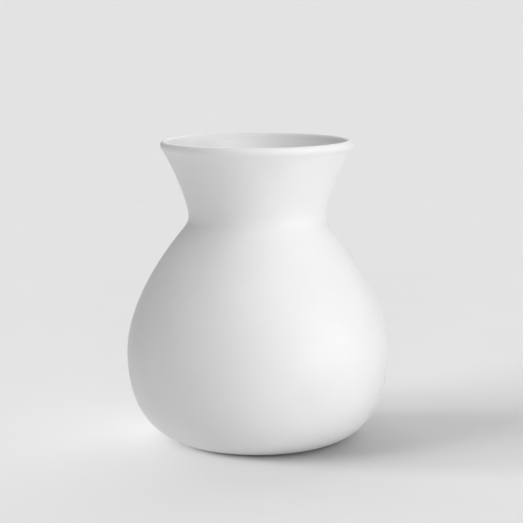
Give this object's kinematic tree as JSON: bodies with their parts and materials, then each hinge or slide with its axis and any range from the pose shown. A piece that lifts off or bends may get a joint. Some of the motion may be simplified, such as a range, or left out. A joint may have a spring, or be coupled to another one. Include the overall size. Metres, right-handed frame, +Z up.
{
  "type": "bud vase",
  "caption": "Small round-bellied ceramic vase with a conical shoulder, a creased neck and a flared collar ending in a rolled lip; satin white outside, glazed inside, bare clay foot ring.",
  "frame": {"origin": "centre of the foot, on the plane that the vase stands on", "axes": "+Z up along the axis the vase is turned about; X and Y are level and alike"},
  "size_m": [0.1096, 0.1096, 0.1272],
  "materials": {
    "stoneware": "fired, bare, sanded smooth on the ring",
    "satin_glaze": "satin white",
    "liner_glaze": "satin white, a little glossier than the outside"
  },
  "bodies": {
    "root": {"clay_body": "stoneware", "outer_glaze": "satin_glaze", "inner_glaze": "liner_glaze"}
  },
  "joints": []
}
